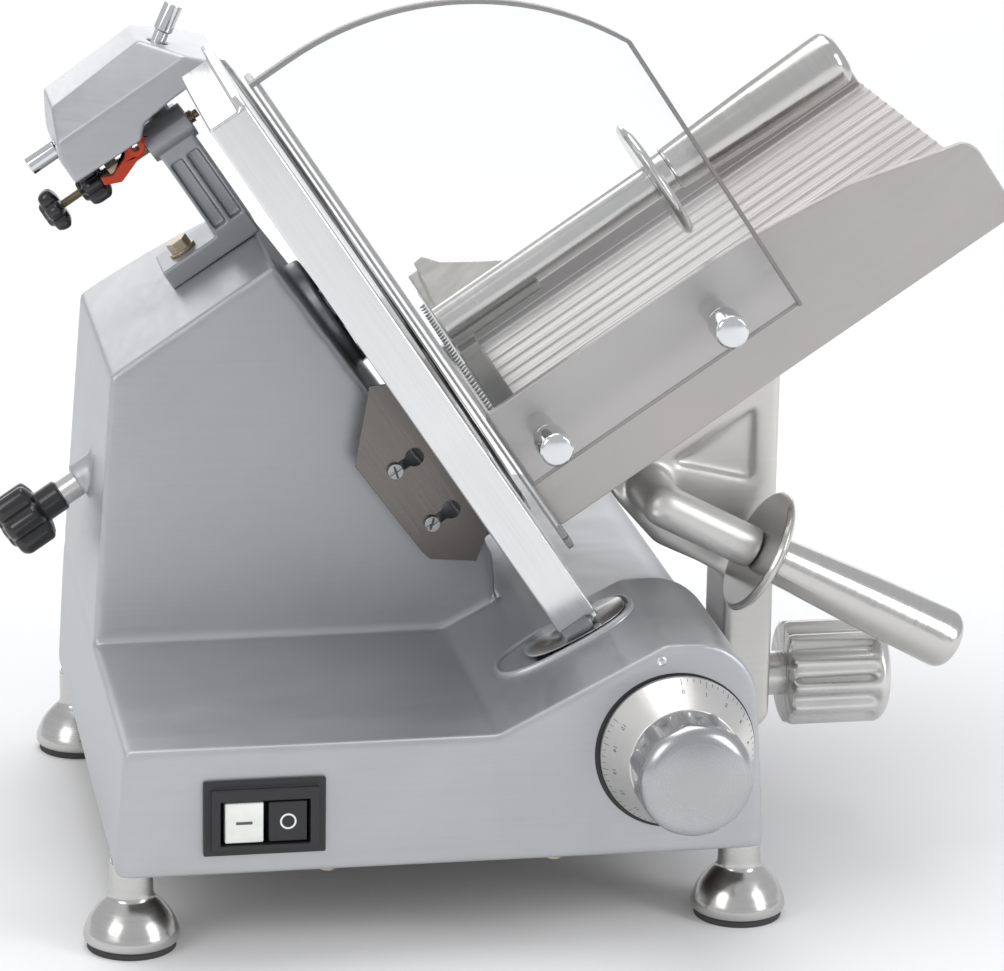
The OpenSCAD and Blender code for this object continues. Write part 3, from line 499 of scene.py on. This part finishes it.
# Nodes with rounded edges: material, rounding in mm, steps of the rounding
SKINS = {
    "switch_bezel": ("black_matt", 0.8, 2), "ring_guard": ("polished", 0.5, 2),
    "cover_tie_rod": ("machine_steel", 0.4, 2), "cover_sleeve": ("turned", 0.5, 2),
    "gauge_plate": ("polished_flat", 1.6, 3), "slice_deflector": ("stainless", 0.25, 2),
    "deflector_studs": ("machine_steel", 0.3, 2), "sharpener_fasteners": ("zinc", 0.4, 2),
    "grinding_button": ("chrome", 0.8, 2), "deburring_button": ("chrome", 0.8, 2),
    # The carriage slider's dark iron colour is painted shade: it stands for the shade behind the
    # carriage arm.
    "lock_lever": ("red", 0.8, 2), "carriage_slider": ("iron", 1.2, 2), "food_tray": ("tray", 0.7, 2),
    "guard_knobs": ("chrome", 0.5, 2), "handle_grip": ("grip_low", 0.6, 2),
    "pusher_grip": ("grip", 0.6, 2), "pusher_tube": ("grip", 0.6, 2),
    "pusher_bush": ("bronze", 0.4, 2), "pusher_rod": ("machine_steel", 0.5, 2),
    "button_on": ("white", 0.8, 2), "button_off": ("black_matt", 0.8, 2),
    "cable_gland": ("black_matt", 0.7, 2), "blade_cover": ("polished_flat", 0.6, 2),
    "gauge_rods": ("machine_steel", 0.5, 2), "carriage_rails": ("machine_steel", 0.4, 2),
    "base_cover": ("stainless", 0.3, 2), "dial_disc": ("dial", 0.5, 2),
}
# Nodes kept as they are: material
PAINTS = {
    "cover_screws": "zinc", "foot_pads": "rubber", "switch_body": "black_matt",
    "blade_bearings": "machine_steel", "motor_body": "iron", "motor_bracket": "bracket",
    "capacitor": "white", "drive_belt": "rubber", "blade": "blade", "blade_hub": "machine_steel",
    "blade_screws": "zinc", "blade_pulley": "cast_rough", "motor_rotor": "machine_steel",
    "motor_pulley": "machine_steel", "dial_shaft": "machine_steel", "grinding_stone": "stone",
    "deburring_stone": "stone", "carriage_roller": "black_matt",
}


# Castings: material, grid in mm, smoothing passes, share of triangles kept
CASTINGS = {
    "base_housing": ("cast", 1.2, 36, 0.12), "carriage_arm": ("cast_arm", 1.0, 90, 0.2),
    "sharpener_bracket": ("bracket", 0.7, 5, 0.25), "sharpener_frame": ("bracket", 0.7, 4, 0.25),
    "sharpener_cover": ("cast_bright", 0.7, 36, 0.2), "gauge_support": ("cast_rough", 0.8, 5, 0.25),
    "pusher_plate": ("pusher", 0.8, 4, 0.2),
}


def dress_nodes():
    """Pieces or materials for all the nodes that have no piece of their own below."""
    for node, (material, voxel, passes, keep) in CASTINGS.items():
        melt(node, material, voxel, passes, keep)
    for node, (material, width, steps) in SKINS.items():
        soften(node, material, width, steps)
    for node, material in PAINTS.items():
        paint(node, material)


# Turned and fluted shapes -----------------------------------------------------------------

def rounded(points, radius, steps=5):
    """The outline with each inner corner cut by an arc of about this radius."""
    out = [Vector(points[0])]
    for before, corner, after in zip(points, points[1:], points[2:]):
        a, b, c = Vector(before), Vector(corner), Vector(after)
        reach = min(radius, (a - b).length * 0.45, (c - b).length * 0.45)
        start, end = b + (a - b).normalized() * reach, b + (c - b).normalized() * reach
        for i in range(steps + 1):
            t = i / steps
            out.append(start * (1 - t) ** 2 + b * 2 * t * (1 - t) + end * t ** 2)
    return out + [Vector(points[-1])]


def turned(profile, origin, axis, count=96, reach=None):
    """A closed shape of revolution: profile is (radius, height) in mm along axis from origin.

    reach(radius, height, angle) may change the radius, for flutes, lobes or threads."""
    axis = Vector(axis).normalized()
    side = axis.orthogonal().normalized()
    other = axis.cross(side)
    bm = bmesh.new()
    rings = []
    for radius, height in profile:
        if radius < 1e-6:
            rings.append([bm.verts.new(origin + axis * height * MM)])
            continue
        ring = []
        for i in range(count):
            angle = 2 * math.pi * i / count
            r = (reach(radius, height, angle) if reach else radius) * MM
            ring.append(bm.verts.new(origin + axis * height * MM
                                     + side * r * math.cos(angle) + other * r * math.sin(angle)))
        rings.append(ring)
    for low, high in zip(rings, rings[1:]):
        for i in range(count):
            j = (i + 1) % count
            corners = [low[i % len(low)], low[j % len(low)], high[j % len(high)], high[i % len(high)]]
            bm.faces.new(list(dict.fromkeys(corners)))
    return bm


def middle(node):
    low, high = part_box(node)
    return (low + high) / 2


def tilted_box(node):
    """Lowest and highest (n, y, u) of a node, in metres."""
    turn = TILTED.to_3x3().transposed()
    spots = [turn @ v.co for v in NODES[node].data.vertices]
    return (Vector([min(p[i] for p in spots) for i in range(3)]),
            Vector([max(p[i] for p in spots) for i in range(3)]))


def at(n, y, u):
    """World place of a point in the tilted frame."""
    return N_AXIS * n + Y_AXIS * y + U_AXIS * u


def smooth_step(value):
    """0 up to 0, 1 from 1 on, and a smooth rise between them."""
    value = max(0.0, min(1.0, value))
    return value * value * (3 - 2 * value)


def flutes(count, depth, start, end, fade):
    """Radius rule for scallops that fade out towards both ends."""
    def reach(radius, height, angle):
        here = smooth_step((height - start) / fade[0]) * smooth_step((end - height) / fade[1])
        cut = (0.5 + 0.5 * math.cos(count * angle)) ** 1.1
        return radius - depth * cut * here
    return reach


def lobes(count, inner):
    """Radius rule for a lobed knob whose hollows lie at the share inner of its radius."""
    def reach(radius, _height, angle):
        wave = (0.5 + 0.5 * math.cos(count * angle)) ** 0.55
        return radius * (inner + (1.0 - inner) * wave)
    return reach


def thread(pitch, depth):
    """Radius rule for a 60 degree screw thread."""
    def reach(radius, height, angle):
        turn = (height / pitch - angle / (2 * math.pi)) % 1.0
        return radius - depth * (1 - abs(2 * turn - 1))
    return reach


def knob_profile(bottom, length, radius, crown, dome_rise):
    """Fluted knob: base edge, straight body and a domed crown, with enough rings for flutes."""
    body = [(radius, bottom + 2.5 + (length - crown - 2.5) * i / 16) for i in range(17)]
    dome = []
    for a in range(10, 80, 8):
        slant = math.radians(a)
        dome.append((radius - crown * (1 - math.cos(slant)),
                     bottom + length - crown * (1 - math.sin(slant))))
    last_r, last_h = dome[-1]
    face = [(last_r * (1 - i / 12), last_h + dome_rise * (1 - (1 - i / 12) ** 2)) for i in range(1, 13)]
    return [(0.0, bottom), (radius - 2.5, bottom), (radius - 0.8, bottom + 0.7)] + body + dome + face


def make_dial_knob():
    """Fluted knob with a low dome, in front of the dial."""
    low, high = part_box("dial_knob")
    centre = Vector((middle("dial_knob").x, high.y, middle("dial_knob").z))
    radius = (high.x - low.x) / 2 / MM
    dome_rise = 2.6
    length = (high.y - low.y) / MM - dome_rise - 0.1
    bm = turned(knob_profile(0.0, length, radius, 9.0, dome_rise), centre, (0, -1, 0), 240,
                flutes(10, 4.6, 0.0, length - 6.0, (0.5, 6.0)))
    place_piece(finished(bm, "dial_knob_fluted", SHADERS["knob"]), "dial_knob")


def make_carriage_knob():
    """Fluted knob on a stepped neck, beside the carriage's arm."""
    low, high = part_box("carriage_knob")
    radius, length = 30.0, 57.0
    start = high.x / MM - length - 1.2
    centre = Vector((0, middle("carriage_knob").y, middle("carriage_knob").z))
    body = turned(knob_profile(start, length, radius, 8.0, 1.1), centre, (1, 0, 0), 240,
                  flutes(12, 3.6, start, start + length - 5.0, (0.5, 7.0)))
    neck = [(0, low.x / MM), (6, low.x / MM), (6, start - 11.6), (12, start - 11.6),
            (12.5, start - 11.1), (12.5, start - 0.9), (12.0, start - 0.4), (12.0, start + 1),
            (0, start + 1)]
    bm = joined(body, [turned(neck, centre, (1, 0, 0), 64)])
    place_piece(finished(bm, "carriage_knob_fluted", SHADERS["side_knob"]), "carriage_knob")


def star_profile(start, end, radius):
    """Outline of a moulded star knob: rounded rim, dished face and a raised boss."""
    return rounded([(0, start), (radius * 0.62, start), (radius, start + 2.5), (radius, end - 3.5),
                    (radius * 0.86, end), (radius * 0.62, end + 0.2), (radius * 0.5, end + 2.4),
                    (0, end + 2.8)], 2.2, 5)


def make_star_knob(node, centre, axis, start, end, radius, rest):
    """A six-lobed knob with the shaft pieces in rest joined to it."""
    bm = turned(star_profile(start, end, radius), centre, axis, 192, lobes(6, 0.74))
    place_piece(finished(bm, node + "_star", SHADERS["black"]), node)
    for i, (profile, rule, material) in enumerate(rest):
        shaft = finished(turned(profile, centre, axis, 48, rule), f"{node}_shaft{i}", SHADERS[material])
        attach(shaft, NODES[node]["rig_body"])


def threaded(radius, start, end, pitch):
    """Profile with six rings to a turn, for the thread rule."""
    count = int((end - start) / pitch * 6)
    side = [(radius, start + (end - start) * i / count) for i in range(count + 1)]
    return [(0, start)] + side + [(0, end)]


def along_blade_axis(node):
    """Middle line of a node that lies along the blade's axis, and where it starts and ends in mm."""
    low, high = tilted_box(node)
    return at(0, (low.y + high.y) / 2, (low.z + high.z) / 2), low.x / MM, high.x / MM


def make_star_knobs():
    """Clamp and adjusting knobs of the sharpener, and the knob behind the motor housing."""
    centre, start, end = along_blade_axis("clamp_knob")
    make_star_knob("clamp_knob", centre, -N_AXIS, -(start + 17), -(start + 3), 12.3,
                   [(threaded(4.0, -end, -(start + 15), 1.25), thread(1.25, 0.65), "zinc")])
    centre, start, end = along_blade_axis("adjust_knob")
    make_star_knob("adjust_knob", centre, -N_AXIS, -(start + 13), -(start + 3), 13.5,
                   [(threaded(2.5, -end, -(start + 12), 0.8), thread(0.8, 0.4), "zinc")])
    centre, start, end = along_blade_axis("cover_knob")
    make_star_knob("cover_knob", centre, -N_AXIS, -(end - 13), -(start + 3), 19.4,
                   [([(0, -end), (8, -end), (9, -end + 1), (9, -(end - 12)), (10.5, -(end - 13.5)),
                      (0, -(end - 14))], None, "black")])


def make_feet():
    """Bell-shaped feet on short stems, turned from bar, with a dark seam above the pad."""
    low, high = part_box("feet")
    radius = 25.4
    inset = radius * MM
    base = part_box("foot_pads")[1].z / MM
    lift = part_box("base_housing")[0].z / MM
    profile = rounded([(0, base), (radius - 1.8, base), (radius, base + 2.0), (radius - 0.3, base + 6),
                       (radius - 3.4, base + 13.5), (radius - 8.6, base + 20),
                       (radius - 13.4, base + 24.5), (11.4, base + 27.5), (11.4, lift - 0.6),
                       (10.8, lift), (0, lift)], 4.0, 6)
    parts = []
    for x in (low.x + inset, high.x - inset):
        for y in (low.y + inset, high.y - inset):
            parts.append(turned(profile, Vector((x, y, 0)), (0, 0, 1), 96))
    place_piece(finished(joined(bmesh.new(), parts), "feet_turned", SHADERS["foot"]), "feet")


# Small marks and points -------------------------------------------------------------------

def skin_between(bm, pairs):
    """Adds a band of faces between the two rings of vertices in each pair."""
    for near, far in pairs:
        for i in range(len(near)):
            j = (i + 1) % len(near)
            bm.faces.new((near[i], near[j], far[j], far[i]))


def block(bm, centre, axes, sizes):
    """Adds a box to bm: axes are three unit vectors, sizes the full lengths in mm."""
    x, y, z = (a.normalized() * s * MM / 2 for a, s in zip(axes, sizes))
    corners = [bm.verts.new(centre + x * i + y * j + z * k)
               for i in (-1, 1) for j in (-1, 1) for k in (-1, 1)]
    for a, b, c, d in ((0, 1, 3, 2), (4, 6, 7, 5), (0, 4, 5, 1), (2, 3, 7, 6), (0, 2, 6, 4),
                       (1, 5, 7, 3)):
        bm.faces.new((corners[a], corners[b], corners[c], corners[d]))


def make_dial_marks():
    """Engraved lines and numbers round the cone of the dial, dark against the metal."""
    scale = math.radians(300)
    rim = 2.8
    low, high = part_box("dial_disc")
    centre = Vector((middle("dial_disc").x, 0, middle("dial_disc").z))
    outer, inner = (high.x - low.x) / 2 / MM, 29.5
    back, front = high.y / MM - rim, low.y / MM
    slant = Vector((outer - inner, 0, back - front)).normalized()

    def spot(radius, angle, lift=0.0):
        share = (outer - radius) / (outer - inner)
        out = Vector((math.sin(angle), 0, math.cos(angle)))
        normal = (out * slant.z - Y_AXIS * slant.x).normalized()
        along = (out * slant.x + Y_AXIS * slant.z).normalized()
        place = centre + out * radius * MM + Y_AXIS * (back + (front - back) * share) * MM
        return place + normal * lift * MM, along, normal, Y_AXIS.cross(out)

    bm = bmesh.new()
    steps = 60
    for i in range(steps + 1):
        angle = scale * i / steps
        length = 4.2 if i % 4 == 0 else 2.3
        place, along, normal, round_way = spot(outer - 0.6 - length * slant.x / 2, angle)
        block(bm, place, (along, round_way, normal), (length, 0.28, 0.12))
    add_piece(finished(bm, "dial_lines", SHADERS["ink"], False), "dial_disc")
    for i in range(16):
        angle = scale * i / 15
        place, along, normal, round_way = spot(outer - 5.2, angle, 0.02)
        add_piece(number(str(i), "dial_number_%02d" % i, place, -round_way, along, normal), "dial_disc")


def number(text, name, place, right, up, normal):
    """A flat numeral about 3 mm high."""
    data = bpy.data.curves.new(name, "FONT")
    data.body = text
    data.size = 3.6 * MM
    data.extrude = 0.05 * MM
    data.align_x, data.align_y = "CENTER", "CENTER"
    data.resolution_u = 3
    made = bpy.data.objects.new(name, data)
    turn = Matrix((right, up, normal)).transposed()
    mesh = bpy.data.meshes.new_from_object(made)
    bpy.data.objects.remove(made)
    mesh.transform(Matrix.Translation(place) @ turn.to_4x4())
    mesh.materials.clear()
    mesh.materials.append(SHADERS["ink"])
    piece = bpy.data.objects.new(name, mesh)
    bpy.context.scene.collection.objects.link(piece)
    return piece


def make_dial_surround():
    """Painted shadow round the dial, wider below on the left, and the dot that the dial is read
    against.
    """
    low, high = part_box("dial_disc")
    radius = (high.x - low.x) / 2 / MM
    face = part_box("base_housing")[0].y
    centre = Vector((middle("dial_disc").x, face, middle("dial_disc").z))
    count = 96
    bm = bmesh.new()
    rings = []
    # The black ring is painted shadow: it is shifted down and to the left so it is wider there, as
    # shade in a recess would be.
    section = ((-0.6, 0.0, 0.5), (-0.6, 0.0, 0.35), (1.6, 0.7, 0.25), (1.8, 0.7, -0.4))
    for spread, shift, lift in section:
        ring = []
        for i in range(count):
            angle = 2 * math.pi * i / count
            x = (radius + spread) * math.cos(angle) - shift
            z = (radius + spread) * math.sin(angle) - shift
            ring.append(bm.verts.new(centre + Vector((x, -lift, z)) * MM))
        rings.append(ring)
    skin_between(bm, zip(rings, rings[1:] + rings[:1]))
    add_piece(finished(bm, "dial_painted_shadow", SHADERS["black_matt"]), "base_housing")
    mark = centre + Vector((-9, 0, radius + 7.5)) * MM
    dot = turned([(0, -0.4), (2.6, -0.4), (2.6, 0.1), (1.9, 0.55), (1.2, 0.1), (0, 0.0)], mark,
                 (0, -1, 0), 32)
    add_piece(finished(dot, "dial_index", SHADERS["turned"]), "base_housing")


def make_switch_marks():
    """A bar on the white button and a ring on the black one."""
    def front_of(node):
        return Vector((middle(node).x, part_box(node)[0].y, middle(node).z))

    bar = bmesh.new()
    block(bar, front_of("button_on"), (Vector((1, 0, 0)), Vector((0, 0, 1)), Y_AXIS), (8.5, 1.5, 0.3))
    add_piece(finished(bar, "button_on_mark", SHADERS["ink"]), "button_on")
    ring = turned([(3.3, 0.12), (4.3, 0.12), (4.3, -0.12), (3.3, -0.12), (3.3, 0.12)],
                  front_of("button_off"), (0, 1, 0), 48)
    add_piece(finished(ring, "button_off_mark", SHADERS["ink_white"]), "button_off")


def make_spikes():
    """Rows of small points, staggered, that stand on a backing 4 mm behind their box's face."""
    low, high = tilted_box("pusher_teeth")
    pitch_y, pitch_u, reach = 6.2 * MM, 5.6 * MM, 3.8
    backing_face = 0.004
    roots = low.x + 0.0041
    backing = bmesh.new()
    centre = at((high.x + low.x + backing_face) / 2, (low.y + high.y) / 2, (low.z + high.z) / 2)
    block(backing, centre, (N_AXIS, Y_AXIS, U_AXIS),
          ((high.x - low.x - backing_face) / MM, (high.y - low.y) / MM, (high.z - low.z) / MM))
    parts = [eased(backing, 0.15 * MM, 1)]
    rows = int((high.z - low.z) / pitch_u)
    for row in range(rows):
        u = low.z + pitch_u * (row + 0.5)
        count = int((high.y - low.y) / pitch_y) - row % 2
        for i in range(count):
            y = low.y + pitch_y * (i + 0.5 + 0.5 * (row % 2))
            root = at(roots, y, u)
            parts.append(turned([(0, -0.3), (1.35, -0.3), (1.35, 0.3), (0.45, reach - 0.5), (0, reach)],
                                root, -N_AXIS, 8))
    bm = joined(bmesh.new(), parts)
    place_piece(finished(bm, "pusher_spikes", SHADERS["machine_steel"], True, 30), "pusher_teeth")


def make_screw_slots():
    """Slots across the heads of the deflector's studs, drawn as thin dark blocks: painted shade."""
    low, high = tilted_box("deflector_studs")
    head = 5.0 * MM
    for i, (u, turn) in enumerate(((low.z + head, 0.7), (high.z - head, 1.3))):
        centre = at((low.x + high.x) / 2, low.y, u)
        along = N_AXIS * math.cos(turn) + U_AXIS * math.sin(turn)
        bm = bmesh.new()
        # Each slot is a thin dark block laid on the head: painted shade in place of a cut slot.
        block(bm, centre, (along, along.cross(Y_AXIS), Y_AXIS), (7.0, 1.2, 0.3))
        add_piece(finished(bm, f"stud_slot_painted_shade_{i}", SHADERS["ink"], False), "deflector_studs")


# Leg of the gauge -------------------------------------------------------------------------

def oval(half_long, half_wide, angle):
    """Point of a squarish oval."""
    c, s = math.cos(angle), math.sin(angle)
    power = 2 / 2.6
    return (math.copysign(abs(c) ** power, c) * half_long,
            math.copysign(abs(s) ** power, s) * half_wide)


def oval_shape(name, material, centre, axes, halves, profile, closed, count=96):
    """A moulding with an oval plan: profile is (inset, height) in mm, from the outside inwards."""
    along, across, up = axes
    bm = bmesh.new()
    rings = []
    for inset, height in profile:
        ring = []
        for i in range(count):
            a, b = oval(halves[0] - inset, halves[1] - inset, 2 * math.pi * i / count)
            ring.append(bm.verts.new(centre + (along * a + across * b + up * height) * MM))
        rings.append(ring)
    skin_between(bm, zip(rings, rings[1:]))
    if closed:
        skin_between(bm, [(rings[-1], rings[0])])
    else:
        bm.faces.new(rings[0])
        bm.faces.new(rings[-1])
    return finished(bm, name, SHADERS[material])


def make_leg_well():
    """Oval collar on the ramp round the gauge's leg, and the cover plate that slides in it."""
    ramp = max((f for f in NODES["base_housing"].data.polygons
                if f.normal.x < -0.3 and f.normal.z > 0.87), key=lambda f: f.area)
    up = Vector(ramp.normal)
    on_ramp = Vector(ramp.center)
    along = Y_AXIS.cross(up).normalized()
    leg = node_mesh("gauge_support")
    cut = bmesh.ops.bisect_plane(leg, geom=leg.verts[:] + leg.edges[:] + leg.faces[:],
                                 plane_co=on_ramp, plane_no=up)
    spots = [v.co.copy() for v in cut["geom_cut"] if isinstance(v, bmesh.types.BMVert)]
    leg.free()
    centre = sum(spots, Vector()) / len(spots)
    axes = (along, Y_AXIS, up)
    collar = oval_shape("leg_collar", "cast_bright", centre - along * 7.5 * MM, axes, (42.0, 23.5),
                        [(0.0, -0.4), (0.1, 0.3), (1.0, 1.7), (2.0, 2.4), (2.8, 2.4), (3.3, 1.6),
                         (3.6, -0.4)], True)
    add_piece(collar, "base_housing")
    cover = oval_shape("leg_cover", "polished", centre, axes, (29.8, 18.2),
                       [(0.3, 2.0), (0.0, 2.2), (0.0, 2.6), (0.4, 2.9)], False)
    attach(cover, NODES["gauge_support"]["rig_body"])


# Clear guard ------------------------------------------------------------------------------

def make_hand_guard():
    """Clear plate whose narrow sides show grey, as the edges of acrylic do."""
    bm = eased(node_mesh("hand_guard"), 1.3 * MM, 3)
    large = 300 * MM * MM
    square_on = 0.98
    wide = [max(abs(f.normal.dot(N_AXIS)), abs(f.normal.y)) > square_on for f in bm.faces]
    flags = [w and f.calc_area() > large for f, w in zip(bm.faces, wide)]
    for face, is_pane in zip(bm.faces, flags):
        face.material_index = 0 if is_pane else 1
    piece = finished(bm, "hand_guard_clear", SHADERS["clear"], sharp=50)
    piece.data.materials.append(SHADERS["clear_edge"])
    place_piece(even_normals(piece), "hand_guard")


def make_guard_lip():
    """Thicker polished lip along the guard's free edge, from the lower right corner over the top."""
    turn = TILTED.to_3x3().transposed()
    spots = [turn @ v.co for v in NODES["hand_guard"].data.vertices]
    front = min(p.y for p in spots)
    pane = [Vector((p.x, p.z)) for p in spots if p.y < front + 0.1 * MM]
    hull = [pane[i] for i in convex_hull_2d(pane)]
    first = max(range(len(hull)), key=lambda i: hull[i].x - hull[i].y)
    hull = hull[first:] + hull[:first]
    last = min(range(len(hull)), key=lambda i: (round(hull[i].x / MM), -hull[i].y))
    path = hull[:last + 1]
    section = [(0.3, -1.6), (0.05, -1.2), (0.05, 5.2), (0.3, 5.6), (1.9, 5.6), (2.2, 5.2),
               (2.2, -1.2), (1.9, -1.6)]
    bm = bmesh.new()
    rings = []
    for i, spot in enumerate(path):
        tangent = (path[min(i + 1, len(path) - 1)] - path[max(i - 1, 0)]).normalized()
        inward = Vector((-tangent.y, tangent.x))
        ring = []
        for depth, across in section:
            place = spot + inward * depth * MM
            ring.append(bm.verts.new(at(place.x, front + across * MM, place.y)))
        rings.append(ring)
    skin_between(bm, zip(rings, rings[1:]))
    bm.faces.new(rings[0])
    bm.faces.new(rings[-1])
    add_piece(finished(bm, "guard_lip", SHADERS["clear_edge"]), "hand_guard")


# The scene --------------------------------------------------------------------------------

def make_object():
    """Every piece: the ones modelled here first, then the frame's own nodes."""
    make_dial_knob()
    make_carriage_knob()
    make_star_knobs()
    make_feet()
    make_dial_marks()
    make_dial_surround()
    make_switch_marks()
    make_screw_slots()
    make_leg_well()
    make_spikes()
    make_hand_guard()
    make_guard_lip()
    dress_nodes()


show_plainly()
make_camera()
make_lights()
make_floor()
make_object()
